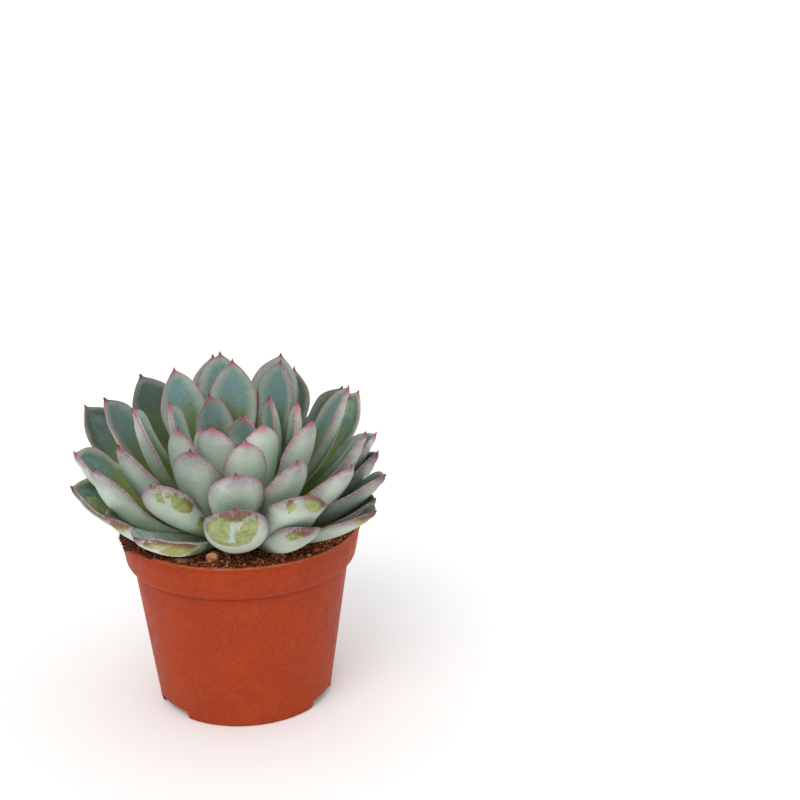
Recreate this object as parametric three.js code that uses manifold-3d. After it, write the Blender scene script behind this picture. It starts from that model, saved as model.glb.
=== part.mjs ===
// Potted echeveria: a rosette of thick pointed leaves on a short stem, in potting soil, in a small
// moulded plastic nursery pot. Millimetres, +Z up. The origin is the middle of the pot's underside,
// which rests on the ground, and -Y is the front.
import * as THREE from "three";
import { mergeVertices } from "three/addons/utils/BufferGeometryUtils.js";
import Module from "manifold-3d";

const wasm = await Module();
wasm.setup();

const degrees = Math.PI / 180;

// Pot: a tapered wall under a wider rim band
const rimRadius = 30;
const potHeight = 45.4;
const wallThickness = 0.9;
const bandBottom = 36.9;
const bandBottomRadius = 28.5;
const wallTopRadius = 26.8;
const baseRadius = 21.9;
const floorThickness = 1.1;
const footEdge = 0.5;
const potSides = 84;

// Drainage: three raised notches in the base, each with a slot in its roof
const notchAngles = [-50, 70, 190];
const notchWidth = 11.4;
const notchHeight = 2.1;
const notchInner = 15.5;
const notchOuter = 25;
const notchCorner = 0.7;
const notchFlare = 1.35;
const notchSkin = 0.9;
const slotLength = 4;
const slotWidth = 2.2;
const slotRadius = 19;
const slotBottom = 0.5;

// Soil: filled to just under the rim, with a crumbly top
const gap = 0.3;
const soilLevel = 43.9;
const soilRise = 0.5;
const soilDip = -2.3;
const soilSlope = { start: 7, end: 27 };
const soilEdgeInset = 0.35;
const crumbHeight = 0.34;
const soilRings = 11;
const soilSides = 60;

// Rosette: leaves on a golden-angle spiral, number 0 the oldest and lowest
const leafCount = 58;
const goldenAngle = 137.508;
const firstLeafAngle = 336;
const rosetteLean = { forward: 10.4, right: 1 };
const rosetteCentre = { x: -0.7, y: -3.15 };
const leafLength = { outer: 38.5, centre: 22.5 };
const leafWidth = { outer: 14, centre: 8.5 };
const leafRise = { outer: 27, centre: 90 };
const leafCurl = { outer: 47, centre: 35 };
const leafThickness = 2.8;
const leafCup = 0.28;
const leafWidest = 0.74;
const leafNeck = 0.35;
const attachRadius = { outer: 13.05, centre: 2.8 };
const attachHeight = { outer: 0.83, centre: 3.3 };
const leafStations = [0.2, 0.42, 0.6, 0.75, 0.88, 0.96];
const rootDepth = 1.5;

// Stem: a short thick stalk that swells into the core which the leaves stand out of
const stemRadius = 3.4;
const stemBottom = -9;
const coreRadius = 8;
const coreTop = 6.5;
const coreBottom = -0.2;
const coreTaper = 1.2;
const stemSides = 18;
const stemHoleGap = 0.4;
const stemHoleTop = 6;

// How single leaves depart from the spiral, as they grew: turn about the stem, lift, curl and twist in
// degrees; extra length, width and thickness, and inset towards the stem, in millimetres
const habits = {
  0: { turn: -2, lift: 3, curl: -33, long: -3, wide: -3, thick: 1.3 },
  1: { lift: -6, long: -2 },
  2: { turn: 4, lift: 2, long: -5, wide: -1 },
  3: { turn: 11, lift: 3, curl: -7, twist: -12, long: -3 },
  4: { lift: -6, long: -2 },
  5: { turn: 25, lift: 2.5, curl: -14, twist: -15, long: -5.5, wide: -3.5, thick: 0.8 },
  6: { turn: -6, lift: -5, long: -5, wide: -1 },
  7: { turn: -8, lift: 7, twist: -9, long: -4 },
  8: { turn: -1, lift: -1, curl: -7, twist: -4, long: -6, wide: -1 },
  9: { lift: -12, long: -2 },
  10: { turn: 14, lift: -5, curl: -19, twist: -4, long: -1, wide: -2 },
  11: { turn: -15, twist: -6, long: 2, wide: 1 },
  12: { turn: 3, lift: 3 },
  13: { turn: 18.5, lift: 4.5, curl: 5, twist: -3, wide: 0.5, thick: -0.5 },
  14: { turn: 1, lift: -7, long: -5, wide: -1 },
  15: { turn: -7, lift: -3, curl: -18, twist: -5 },
  16: { turn: 12, lift: 3, curl: 23, twist: 16, long: 2, wide: -3 },
  17: { turn: 2 },
  18: { turn: 12, curl: 2, twist: -14, long: 1, thick: -0.3 },
  19: { turn: -12, lift: -12, long: -9, wide: -1 },
  20: { turn: -13, lift: -2, curl: -13, long: -3, wide: -1 },
  21: { turn: 9, curl: -16, twist: 30, long: 2.5, wide: -4, thick: -0.5 },
  22: { turn: 4, lift: 2, long: 1 },
  23: { turn: 3, lift: -3, curl: -8, twist: -3 },
  24: { turn: 13, lift: -8, curl: -8, twist: -5, wide: 2 },
  25: { turn: -18, lift: 2, long: -1 },
  26: { turn: 7, lift: 1, curl: -5, wide: -1 },
  27: { turn: 8, lift: -3, curl: -7, twist: -4, wide: 1 },
  28: { turn: -8, lift: -5, wide: -1 },
  29: { lift: -2, wide: 1 },
  30: { turn: -10, lift: -1, long: 1 },
  31: { turn: 2, lift: -4, twist: 8, wide: -1 },
  32: { lift: -10, curl: -6 },
  33: { turn: -17, lift: -2, curl: -16, twist: -5, long: 2 },
  34: { turn: 4, lift: -1, curl: 4 },
  35: { turn: -10, lift: 1, twist: -3, long: 1 },
  36: { turn: -5, curl: -8 },
  37: { turn: -6, lift: -2 },
  38: { turn: -9, lift: 5, twist: -4, long: 2 },
  39: { turn: 2, lift: -2, wide: -2 },
  40: { turn: -10, lift: -5, curl: 11, twist: -7, long: 2 },
  41: { turn: 2, lift: -4, long: -13 },
  42: { lift: -2, curl: 10 },
  43: { turn: 2, lift: -1, curl: -4, long: 3 },
  44: { turn: -9 },
  45: { turn: 2, lift: -3, curl: -11 },
  46: { turn: -17, lift: 3, curl: 11 },
  47: { turn: -10, lift: -1, curl: -15 },
  48: { lift: -3, curl: -7, long: -1 },
  49: { turn: 22, lift: -10, curl: 6, long: 3 },
  50: { turn: 10, lift: -2, long: -1 },
  51: { turn: -14, lift: 5, curl: 9, twist: 4, long: -2 },
  52: { lift: 3, long: -7 },
  53: { long: -6 },
  54: { turn: 6, long: -7 },
  55: { lift: 5, long: -9, wide: -3.5, inset: 1.5 },
  56: { lift: 5, long: -10, wide: -3.5, inset: 1.5 },
  57: { lift: 5, long: -11, wide: -3.5, inset: 1.5 },
};

// Bark chip: one tan flake lying on the soil in front
const chipPlace = { x: -4.3, y: -21.7 };
const chipSize = { x: 1.6, y: 1.2, z: 0.6 };
const chipLift = 0.85;

const materials = {
  pot: plainMaterial("#ab4a2d", 0.55),
  soil: plainMaterial("#4b3023", 0.95),
  leaf: plainMaterial("#94afa2", 0.6),
  bark: plainMaterial("#b97f5c", 0.85),
};

function plainMaterial(color, roughness) {
  return new THREE.MeshStandardMaterial({ color, roughness, metalness: 0 });
}

function mix(from, to, share) {
  return from + (to - from) * share;
}

// A closed geometry as a solid that can be joined and cut
function solidOf(geometry) {
  const plain = new THREE.BufferGeometry();
  plain.setAttribute("position", geometry.getAttribute("position"));
  plain.setIndex(geometry.index);
  const merged = mergeVertices(plain, 1e-4);
  const mesh = new wasm.Mesh({
    numProp: 3,
    vertProperties: merged.attributes.position.array,
    triVerts: new Uint32Array(merged.index.array),
  });
  return new wasm.Manifold(mesh);
}

function geometryOf(solid) {
  const mesh = solid.getMesh();
  const geometry = new THREE.BufferGeometry();
  geometry.setAttribute("position", new THREE.BufferAttribute(mesh.vertProperties, 3));
  geometry.setIndex(new THREE.BufferAttribute(mesh.triVerts, 1));
  geometry.computeVertexNormals();
  return geometry;
}

function namedMesh(name, geometry, material) {
  const mesh = new THREE.Mesh(geometry, material);
  mesh.name = name;
  return mesh;
}

// A solid of revolution about +Z from [radius, height] points that start and end on the axis
function turned(points, sides) {
  const profile = points.map(([radius, height]) => new THREE.Vector2(radius, height));
  const geometry = new THREE.LatheGeometry(profile, sides);
  geometry.rotateX(Math.PI / 2);
  return solidOf(geometry);
}

// Pot

function potOutside() {
  return [
    [0, 0],
    [baseRadius - footEdge, 0],
    [baseRadius, footEdge],
    [wallTopRadius, bandBottom - 0.9],
    [wallTopRadius + 0.7, bandBottom - 0.15],
    [bandBottomRadius - 0.3, bandBottom + 0.35],
    [bandBottomRadius + 0.15, bandBottom + 1.1],
    [rimRadius - 0.12, potHeight - 0.35],
    [rimRadius - 0.3, potHeight],
  ];
}

function potInside() {
  return [
    [rimRadius - wallThickness, potHeight],
    [rimRadius - wallThickness - 0.2, potHeight - 0.4],
    [bandBottomRadius - wallThickness + 0.1, bandBottom + 1.4],
    [wallTopRadius - wallThickness, bandBottom - 0.2],
    [baseRadius - wallThickness + 0.2, floorThickness],
    [0, floorThickness],
  ];
}

// A block along +X, seen end on as wide as a notch grown by skin on every side, with round upper
// corners. A flare rounds off the foot where a notch meets the ground.
function notchBlock(skin, inner, flare = 0) {
  const halfWidth = notchWidth / 2 + skin;
  const top = notchHeight + skin;
  const corner = notchCorner + skin;
  const right = Math.PI / 2;
  const outline = new THREE.Shape();
  outline.moveTo(-halfWidth - flare, -1);
  outline.lineTo(halfWidth + flare, -1);
  if (flare > 0) outline.absarc(halfWidth + flare, flare, flare, -right, -2 * right, true);
  outline.absarc(halfWidth - corner, top - corner, corner, 0, right, false);
  outline.absarc(corner - halfWidth, top - corner, corner, right, 2 * right, false);
  if (flare > 0) outline.absarc(-halfWidth - flare, flare, flare, 0, -right, true);
  const settings = { depth: notchOuter - inner, bevelEnabled: false, curveSegments: 4 };
  const geometry = new THREE.ExtrudeGeometry(outline, settings);
  // The outline lies in X and Y and is pushed along Z: stand it up so that it runs along +X
  geometry.applyMatrix4(new THREE.Matrix4().set(0, 0, 1, inner, 1, 0, 0, 0, 0, 1, 0, 0, 0, 0, 0, 1));
  return solidOf(geometry);
}

function drainSlot() {
  const end = slotWidth / 2;
  const reach = slotLength / 2 - end;
  const outline = new THREE.Shape();
  outline.absarc(reach, 0, end, -Math.PI / 2, Math.PI / 2, false);
  outline.absarc(-reach, 0, end, Math.PI / 2, (3 * Math.PI) / 2, false);
  const settings = { depth: notchHeight + 3, bevelEnabled: false, curveSegments: 5 };
  const geometry = new THREE.ExtrudeGeometry(outline, settings);
  geometry.rotateZ(Math.PI / 2);
  geometry.translate(slotRadius, 0, slotBottom);
  return solidOf(geometry);
}

// Notch angles count from the front (-Y) towards the right (+X)
function atNotch(solid, angle) {
  return solid.rotate([0, 0, angle - 90]);
}

function potSolid() {
  const outside = potOutside();
  const envelope = turned([...outside, [0, potHeight]], potSides);
  let pot = turned([...outside, ...potInside()], potSides);
  for (const angle of notchAngles) {
    const casing = atNotch(notchBlock(notchSkin, notchInner - notchSkin), angle);
    pot = pot.add(casing.intersect(envelope));
  }
  for (const angle of notchAngles) {
    pot = pot.subtract(atNotch(notchBlock(0, notchInner, notchFlare), angle));
    pot = pot.subtract(atNotch(drainSlot(), angle));
  }
  return pot;
}

// Soil

// Height of the soil's top: a crumbly surface, lowest under the leaves and rising to the rim
function soilHeight(radius, angle) {
  const outward = (radius - soilSlope.start) / (soilSlope.end - soilSlope.start);
  const rise = mix(soilDip, soilRise, THREE.MathUtils.clamp(outward, 0, 1));
  const crumbs =
    Math.sin(angle * 13 + radius * 1.9) * Math.sin(radius * 2.3 - angle * 5) +
    0.8 * Math.sin(angle * 22 - radius * 3.1) * Math.cos(angle * 9 + radius * 1.3);
  return soilLevel + rise + crumbHeight * crumbs;
}

function soilSolid(rosetteFrame) {
  const wallGap = wallThickness + gap;
  const topRadius = rimRadius - wallGap - soilEdgeInset;
  const profile = [
    [0, floorThickness + gap],
    [baseRadius - wallGap, floorThickness + gap],
    [wallTopRadius - wallGap, bandBottom - 0.2],
    [bandBottomRadius - wallGap, bandBottom + 1.4],
    [topRadius, soilLevel],
  ];
  for (let ring = soilRings - 1; ring >= 0; ring -= 1) {
    profile.push([(topRadius * ring) / soilRings, soilLevel]);
  }
  const geometry = new THREE.LatheGeometry(
    profile.map(([radius, height]) => new THREE.Vector2(radius, height)),
    soilSides,
  );
  geometry.rotateX(Math.PI / 2);
  const position = geometry.getAttribute("position");
  for (let i = 0; i < position.count; i += 1) {
    if (position.getZ(i) < soilLevel - 0.01) continue;
    const radius = Math.hypot(position.getX(i), position.getY(i));
    const angle = Math.atan2(position.getY(i), position.getX(i));
    position.setZ(i, radius < 0.01 ? soilLevel + soilDip : soilHeight(radius, angle));
  }
  let soil = solidOf(geometry);
  for (const angle of notchAngles) {
    const skin = notchSkin + gap;
    soil = soil.subtract(atNotch(notchBlock(skin, notchInner - skin), angle));
  }
  const hole = [
    [0, stemBottom - stemHoleGap],
    [stemRadius + stemHoleGap, stemBottom - stemHoleGap],
    [stemRadius + stemHoleGap, stemHoleTop],
    [0, stemHoleTop],
  ];
  return soil.subtract(turned(hole, stemSides).transform(rosetteFrame.elements));
}

// Rosette

// A leaf's place and size by its number on the spiral
function leafShape(number) {
  // From the oldest leaf, 0, to the centre, 1
  const age = number / (leafCount - 1);
  const habit = habits[number] ?? {};
  const rise = mix(leafRise.outer, leafRise.centre, age ** 1.25) + (habit.lift ?? 0);
  const upright = THREE.MathUtils.clamp((rise - 5) / 75, 0, 1);
  const shortening = Math.max(0, (age - 0.55) / 0.45) ** 1.6;
  const narrowing = Math.max(0, (age - 0.45) / 0.55) ** 1.3;
  const width = mix(leafWidth.outer, leafWidth.centre, narrowing) + (habit.wide ?? 0);
  return {
    turn: (firstLeafAngle - goldenAngle * number + (habit.turn ?? 0)) * degrees,
    rise: rise * degrees,
    curl: (mix(leafCurl.outer, leafCurl.centre, age) + (habit.curl ?? 0)) * degrees,
    twist: (habit.twist ?? 0) * degrees,
    length: mix(leafLength.outer, leafLength.centre, shortening) + (habit.long ?? 0),
    width,
    thickness: (leafThickness + (habit.thick ?? 0)) * (width / leafWidth.outer),
    reach: mix(attachRadius.outer, attachRadius.centre, upright) - (habit.inset ?? 0),
    height: mix(attachHeight.outer, attachHeight.centre, upright),
  };
}

// Half width along the blade, as a share of the widest: a narrow neck, a broad shoulder, a short point
function bladeWidth(along) {
  if (along < leafWidest) {
    const swell = Math.sin((Math.PI / 2) * Math.max(0, along / leafWidest)) ** 1.5;
    return mix(leafNeck, 1, swell);
  }
  return (1 - ((along - leafWidest) / (1 - leafWidest)) ** 2) ** 0.73;
}

// Thickness along the blade, as a share of the thickest
function bladeThickness(along) {
  const body = 0.35 + 0.65 * Math.sin(Math.PI * (0.18 + 0.82 * Math.max(0, along)));
  return body * Math.min(1, (1 - along) / 0.12) ** 0.5;
}

// A point of the leaf's midrib, and the directions across the blade and out of its upper face
function midribFrame(leaf, along) {
  const out = new THREE.Vector3(Math.sin(leaf.turn), -Math.cos(leaf.turn), 0);
  const side = new THREE.Vector3(Math.cos(leaf.turn), Math.sin(leaf.turn), 0);
  const up = new THREE.Vector3(0, 0, 1);
  const start = leaf.rise - leaf.curl / 2;
  const bend = leaf.curl * Math.max(0, along);
  // A bending midrib is an arc of a circle; before its foot it runs straight on to the core
  const radius = leaf.length / leaf.curl;
  const straight = Math.min(0, along) * leaf.length;
  const outward = leaf.reach + radius * (Math.sin(start + bend) - Math.sin(start)) + straight * Math.cos(start);
  const upward = leaf.height + radius * (Math.cos(start) - Math.cos(start + bend)) + straight * Math.sin(start);
  const slope = start + bend;
  const normal = out.clone().multiplyScalar(-Math.sin(slope)).addScaledVector(up, Math.cos(slope));
  const twist = leaf.twist * THREE.MathUtils.clamp(along * 2, 0, 1);
  return {
    point: out.multiplyScalar(outward).addScaledVector(up, upward),
    across: side.clone().multiplyScalar(Math.cos(twist)).addScaledVector(normal, Math.sin(twist)),
    normal: normal.multiplyScalar(Math.cos(twist)).addScaledVector(side, -Math.sin(twist)),
  };
}

// The eight corners of a blade's section: across its upper face, and back along its rounded underside
const sectionCorners = [
  [-1, 0],
  [-0.62, 0],
  [0, 0],
  [0.62, 0],
  [1, 0],
  [0.62, 1],
  [0, 1],
  [-0.62, 1],
];

function leafSection(leaf, along) {
  const { point, across, normal } = midribFrame(leaf, along);
  const half = (leaf.width / 2) * bladeWidth(along);
  const thick = leaf.thickness * bladeThickness(along);
  return sectionCorners.map(([share, under]) => {
    const lift = leafCup * half * share ** 2 - under * thick * (1 - share ** 2) ** 0.6;
    return point.clone().addScaledVector(across, half * share).addScaledVector(normal, lift);
  });
}

function leafSolid(leaf) {
  const root = Math.min(0, (coreRadius - rootDepth - leaf.reach) / leaf.length);
  const rings = [root, ...leafStations].map((along) => leafSection(leaf, along));
  const corners = sectionCorners.length;
  const points = [...rings.flat(), midribFrame(leaf, root).point, midribFrame(leaf, 1).point];
  const foot = rings.length * corners;
  const tip = foot + 1;
  const triangles = [];
  for (let ring = 0; ring + 1 < rings.length; ring += 1) {
    for (let i = 0; i < corners; i += 1) {
      const here = ring * corners + i;
      const beside = ring * corners + ((i + 1) % corners);
      triangles.push(here, here + corners, beside);
      triangles.push(beside, here + corners, beside + corners);
    }
  }
  const last = (rings.length - 1) * corners;
  for (let i = 0; i < corners; i += 1) {
    const beside = (i + 1) % corners;
    triangles.push(foot, i, beside);
    triangles.push(tip, last + beside, last + i);
  }
  const geometry = new THREE.BufferGeometry().setFromPoints(points);
  geometry.setIndex(triangles);
  return solidOf(geometry);
}

function stemSolid() {
  const profile = [
    [0, stemBottom],
    [stemRadius, stemBottom],
    [stemRadius, coreBottom - coreTaper],
    [coreRadius, coreBottom + coreTaper],
    [coreRadius, coreTop * 0.5],
    [coreRadius * 0.6, coreTop * 0.85],
    [0, coreTop],
  ];
  return turned(profile, stemSides);
}

function rosetteSolid() {
  let rosette = stemSolid();
  for (let number = 0; number < leafCount; number += 1) {
    rosette = rosette.add(leafSolid(leafShape(number)));
  }
  return rosette;
}

// Bark chip

function chipSolid() {
  const geometry = new THREE.IcosahedronGeometry(1, 1);
  const position = geometry.getAttribute("position");
  for (let i = 0; i < position.count; i += 1) {
    const [x, y, z] = [position.getX(i), position.getY(i), position.getZ(i)];
    const rough = 1 + 0.14 * Math.sin(5 * x + 2) * Math.cos(4 * y - 1) + 0.08 * Math.sin(9 * z + 3 * x);
    const flat = Math.max(-0.55, Math.min(0.6, z));
    position.setXYZ(i, x * rough * chipSize.x, y * rough * chipSize.y, (flat + 0.12 * x) * chipSize.z);
  }
  geometry.deleteAttribute("normal");
  geometry.deleteAttribute("uv");
  return solidOf(mergeVertices(geometry, 1e-4));
}

const plant = new THREE.Group();
plant.name = "potted_echeveria";

plant.add(namedMesh("pot", geometryOf(potSolid()), materials.pot));

const rosette = namedMesh("rosette", geometryOf(rosetteSolid()), materials.leaf);
rosette.position.set(rosetteCentre.x, rosetteCentre.y, potHeight);
rosette.rotation.set(rosetteLean.forward * degrees, rosetteLean.right * degrees, 0, "YXZ");
rosette.updateMatrix();
plant.add(rosette);

plant.add(namedMesh("potting_soil", geometryOf(soilSolid(rosette.matrix)), materials.soil));

const chip = namedMesh("bark_chip", geometryOf(chipSolid()), materials.bark);
const chipRadius = Math.hypot(chipPlace.x, chipPlace.y);
const chipAngle = Math.atan2(chipPlace.y, chipPlace.x);
chip.position.set(chipPlace.x, chipPlace.y, soilHeight(chipRadius, chipAngle) + chipLift);
chip.rotation.z = 0.5;
plant.add(chip);

export default plant;
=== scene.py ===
# Potted echeveria: the looks of the leaves, the soil and the pot, around the part's solids.
# Lengths are millimetres in the part's own frame until a mesh is made: +Z up, -Y the front.
import math
import random
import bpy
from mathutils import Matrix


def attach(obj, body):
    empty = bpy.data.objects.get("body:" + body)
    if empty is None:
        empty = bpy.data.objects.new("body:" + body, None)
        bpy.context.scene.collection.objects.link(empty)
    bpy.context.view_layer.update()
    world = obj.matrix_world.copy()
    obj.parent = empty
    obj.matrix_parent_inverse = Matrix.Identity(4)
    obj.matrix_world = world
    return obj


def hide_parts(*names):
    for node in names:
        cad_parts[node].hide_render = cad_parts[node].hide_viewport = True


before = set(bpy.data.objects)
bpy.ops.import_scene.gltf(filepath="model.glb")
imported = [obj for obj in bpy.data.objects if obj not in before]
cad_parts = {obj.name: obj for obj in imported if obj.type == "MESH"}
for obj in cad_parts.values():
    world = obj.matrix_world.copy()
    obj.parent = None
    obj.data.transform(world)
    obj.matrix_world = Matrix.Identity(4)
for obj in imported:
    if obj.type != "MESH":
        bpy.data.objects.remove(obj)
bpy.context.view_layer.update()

from types import SimpleNamespace

import bmesh
import bpy
import numpy as np
from mathutils import Euler, Matrix, Vector, noise

MM = 0.001

# Sizes of the pot and the soil
RIM_RADIUS = 30.0
POT_HEIGHT = 45.4
WALL = 0.9
BAND_BOTTOM = 36.9
BAND_RADIUS = 28.5
WALL_TOP_RADIUS = 26.8
BASE_RADIUS = 21.9
FLOOR = 1.1
POT_SEGMENTS = 300
NOTCH_ANGLES = (-50, 70, 190)
NOTCH_WIDTH = 11.4
NOTCH_HEIGHT = 2.1
NOTCH_INNER = 15.5
NOTCH_OUTER = 25.0
NOTCH_CORNER = 0.7
NOTCH_FLARE = 1.35
NOTCH_SKIN = 0.9
BELOW_GROUND = -1
SLOT_REACH = 19
SLOT_HALF_LENGTH = 0.9
SLOT_RADIUS = 1.1
SLOT_HEIGHTS = (0.5, 6)
SOIL_LEVEL = 43.9
SOIL_RISE = 0.5
SOIL_DIP = -2.3
SOIL_SLOPE = (7, 27)
SOIL_GAP = 0.3
SOIL_RADIUS = 28.62
SOIL_RINGS = 92
SOIL_COLUMNS = 300

# Rosette: the leaves stand on a golden-angle spiral, number 0 the oldest and lowest
LEAF_COUNT = 58
GOLDEN_ANGLE = 137.508
FIRST_ANGLE = 336.0
LEAN_FORWARD = 10.4
LEAN_RIGHT = 1.0
ROSETTE_CENTRE = (-0.7, -3.15)
LENGTH = (38.5, 22.5)
WIDTH = (14.0, 8.5)
RISE = (27.0, 90.0)
RISE_POWER = 1.25
CURL = (47.0, 35.0)
# Ages, from 0 the oldest leaf to 1 the youngest, from which the leaves grow shorter and narrower
SHORTER_FROM = 0.55
SHORTER_POWER = 1.6
NARROWER_FROM = 0.45
NARROWER_POWER = 1.3
THICKNESS = 2.8
CUP = 0.28
WIDEST = 0.74
NECK = 0.35
SHOULDER_POWER = 1.5
TIP_POWER = 0.73
TIP_POINT = 0.3
THINNEST = 0.35
FOOT_PHASE = 0.18
TIP_TAPER = 0.12
# From a leaf that rises 5 degrees to one that rises 80, the foot moves inwards and up
UPRIGHT = (5, 80)
ATTACH_RADIUS = (13.05, 2.8)
ATTACH_HEIGHT = (0.83, 3.3)
CORE_RADIUS = 8.0

# How single leaves depart from the spiral: turn, lift, curl and twist in degrees; extra length, width
# and thickness, and inset towards the stem, in millimetres
HABITS = {
    0: dict(turn=-2, lift=3, curl=-33, long=-3, wide=-3, thick=1.3),
    1: dict(lift=-6, long=-2),
    2: dict(turn=4, lift=2, long=-5, wide=-1),
    3: dict(turn=11, lift=3, curl=-7, twist=-12, long=-3),
    4: dict(lift=-6, long=-2),
    5: dict(turn=25, lift=2.5, curl=-14, twist=-15, long=-5.5, wide=-3.5, thick=0.8),
    6: dict(turn=-6, lift=-5, long=-5, wide=-1),
    7: dict(turn=-8, lift=7, twist=-9, long=-4),
    8: dict(turn=-1, lift=-1, curl=-7, twist=-4, long=-6, wide=-1),
    9: dict(lift=-12, long=-2),
    10: dict(turn=14, lift=-5, curl=-19, twist=-4, long=-1, wide=-2),
    11: dict(turn=-15, twist=-6, long=2, wide=1),
    12: dict(turn=3, lift=3),
    13: dict(turn=18.5, lift=4.5, curl=5, twist=-3, wide=0.5, thick=-0.5),
    14: dict(turn=1, lift=-7, long=-5, wide=-1),
    15: dict(turn=-7, lift=-3, curl=-18, twist=-5),
    16: dict(turn=12, lift=3, curl=23, twist=16, long=2, wide=-3),
    17: dict(turn=2),
    18: dict(turn=12, curl=2, twist=-14, long=1, thick=-0.3),
    19: dict(turn=-12, lift=-12, long=-9, wide=-1),
    20: dict(turn=-13, lift=-2, curl=-13, long=-3, wide=-1),
    21: dict(turn=9, curl=-16, twist=30, long=2.5, wide=-4, thick=-0.5),
    22: dict(turn=4, lift=2, long=1),
    23: dict(turn=3, lift=-3, curl=-8, twist=-3),
    24: dict(turn=13, lift=-8, curl=-8, twist=-5, wide=2),
    25: dict(turn=-18, lift=2, long=-1),
    26: dict(turn=7, lift=1, curl=-5, wide=-1),
    27: dict(turn=8, lift=-3, curl=-7, twist=-4, wide=1),
    28: dict(turn=-8, lift=-5, wide=-1),
    29: dict(lift=-2, wide=1),
    30: dict(turn=-10, lift=-1, long=1),
    31: dict(turn=2, lift=-4, twist=8, wide=-1),
    32: dict(lift=-10, curl=-6),
    33: dict(turn=-17, lift=-2, curl=-16, twist=-5, long=2),
    34: dict(turn=4, lift=-1, curl=4),
    35: dict(turn=-10, lift=1, twist=-3, long=1),
    36: dict(turn=-5, curl=-8),
    37: dict(turn=-6, lift=-2),
    38: dict(turn=-9, lift=5, twist=-4, long=2),
    39: dict(turn=2, lift=-2, wide=-2),
    40: dict(turn=-10, lift=-5, curl=11, twist=-7, long=2),
    41: dict(turn=2, lift=-4, long=-13),
    42: dict(lift=-2, curl=10),
    43: dict(turn=2, lift=-1, curl=-4, long=3),
    44: dict(turn=-9),
    45: dict(turn=2, lift=-3, curl=-11),
    46: dict(turn=-17, lift=3, curl=11),
    47: dict(turn=-10, lift=-1, curl=-15),
    48: dict(lift=-3, curl=-7, long=-1),
    49: dict(turn=22, lift=-10, curl=6, long=3),
    50: dict(turn=10, lift=-2, long=-1),
    51: dict(turn=-14, lift=5, curl=9, twist=4, long=-2),
    52: dict(lift=3, long=-7),
    53: dict(long=-6),
    54: dict(turn=6, long=-7),
    55: dict(lift=5, long=-9, wide=-3.5, inset=1.5),
    56: dict(lift=5, long=-10, wide=-3.5, inset=1.5),
    57: dict(lift=5, long=-11, wide=-3.5, inset=1.5),
}


def linear(red, green, blue):
    """An sRGB colour, each part 0 to 255, as linear red, green, blue and alpha."""
    parts = [part / 255 for part in (red, green, blue)]
    return [part / 12.92 if part < 0.04045 else ((part + 0.055) / 1.055) ** 2.4 for part in parts] + [1.0]


def mix(start, end, share):
    return start + (end - start) * share


def share_between(value, low, high):
    return min(max((value - low) / (high - low), 0), 1)


def smooth_step(value, low, high):
    share = np.clip((value - low) / (high - low), 0, 1)
    return share * share * (3 - 2 * share)


# Nodes of a material


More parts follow.
